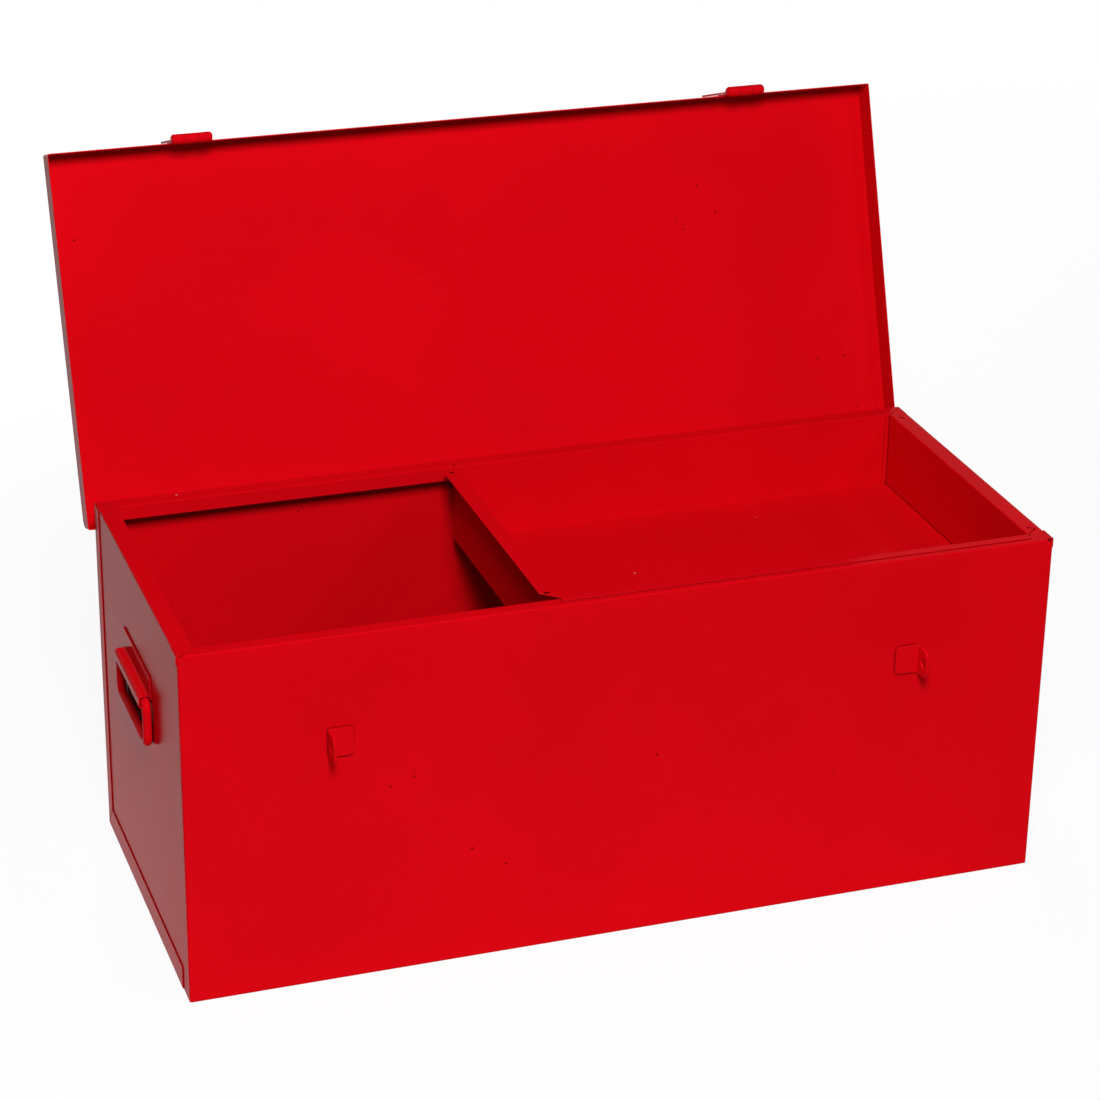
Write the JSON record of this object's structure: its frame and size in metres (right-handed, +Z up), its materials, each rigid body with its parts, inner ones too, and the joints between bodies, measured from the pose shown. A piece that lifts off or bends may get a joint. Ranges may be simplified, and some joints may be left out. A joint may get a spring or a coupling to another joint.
{
  "type": "steel tool box",
  "caption": "Red enamelled sheet-steel tool box with a hinged flanged lid, hasps and staples for padlocks, drop handles on the ends and a lift-out tray.",
  "frame": {"origin": "middle of the base, on the surface it stands on", "axes": "+X to the right seen from the front, +Y to the back, +Z up"},
  "size_m": [0.852, 0.5843, 0.6586],
  "materials": {
    "sheet_enamel": "glossy red enamel",
    "hardware_enamel": "glossy red enamel"
  },
  "bodies": {
    "box": {"front_wrap": "sheet_enamel", "back_panel": "sheet_enamel", "floor_panel": "sheet_enamel", "hinge_body_leaf_left": "hardware_enamel", "hinge_pin_left": "hardware_enamel", "staple_left": "hardware_enamel", "handle_bracket_left": "hardware_enamel", "hinge_body_leaf_right": "hardware_enamel", "hinge_pin_right": "hardware_enamel", "staple_right": "hardware_enamel", "handle_bracket_right": "hardware_enamel"},
    "lid": {"lid_pan": "sheet_enamel", "hinge_lid_leaf_left": "hardware_enamel", "hasp_leaf_left": "hardware_enamel", "hasp_pin_left": "hardware_enamel", "hinge_lid_leaf_right": "hardware_enamel", "hasp_leaf_right": "hardware_enamel", "hasp_pin_right": "hardware_enamel"},
    "tray": {"tray_trough": "sheet_enamel", "tray_end_left": "sheet_enamel", "tray_end_right": "sheet_enamel"},
    "hasp_left": {"hasp_strap_left": "hardware_enamel"},
    "bail_left": {"handle_bail_left": "hardware_enamel"},
    "hasp_right": {"hasp_strap_right": "hardware_enamel"},
    "bail_right": {"handle_bail_right": "hardware_enamel"}
  },
  "joints": [
    {"name": "lid_hinge", "type": "hinge", "parent": "box", "child": "lid", "pos_m": [0, 0.17795, 0.314], "axis": [-1, 0, 0], "range_deg": [-109, 0]},
    {"name": "tray_lift", "type": "slide", "parent": "box", "child": "tray", "axis": [0, 0, 1], "range_m": [0, 0.12]},
    {"name": "hasp_left_hinge", "type": "hinge", "parent": "lid", "child": "hasp_left", "pos_m": [-0.283, 0.29624, 0.65354], "axis": [-1, 0, 0], "range_deg": [-180, 0]},
    {"name": "bail_left_hinge", "type": "hinge", "parent": "box", "child": "bail_left", "pos_m": [-0.4197, 0, 0.2437], "axis": [0, 1, 0], "range_deg": [0, 155]},
    {"name": "hasp_right_hinge", "type": "hinge", "parent": "lid", "child": "hasp_right", "pos_m": [0.283, 0.29624, 0.65354], "axis": [-1, 0, 0], "range_deg": [-180, 0]},
    {"name": "bail_right_hinge", "type": "hinge", "parent": "box", "child": "bail_right", "pos_m": [0.4197, 0, 0.2437], "axis": [0, -1, 0], "range_deg": [0, 155]}
  ]
}
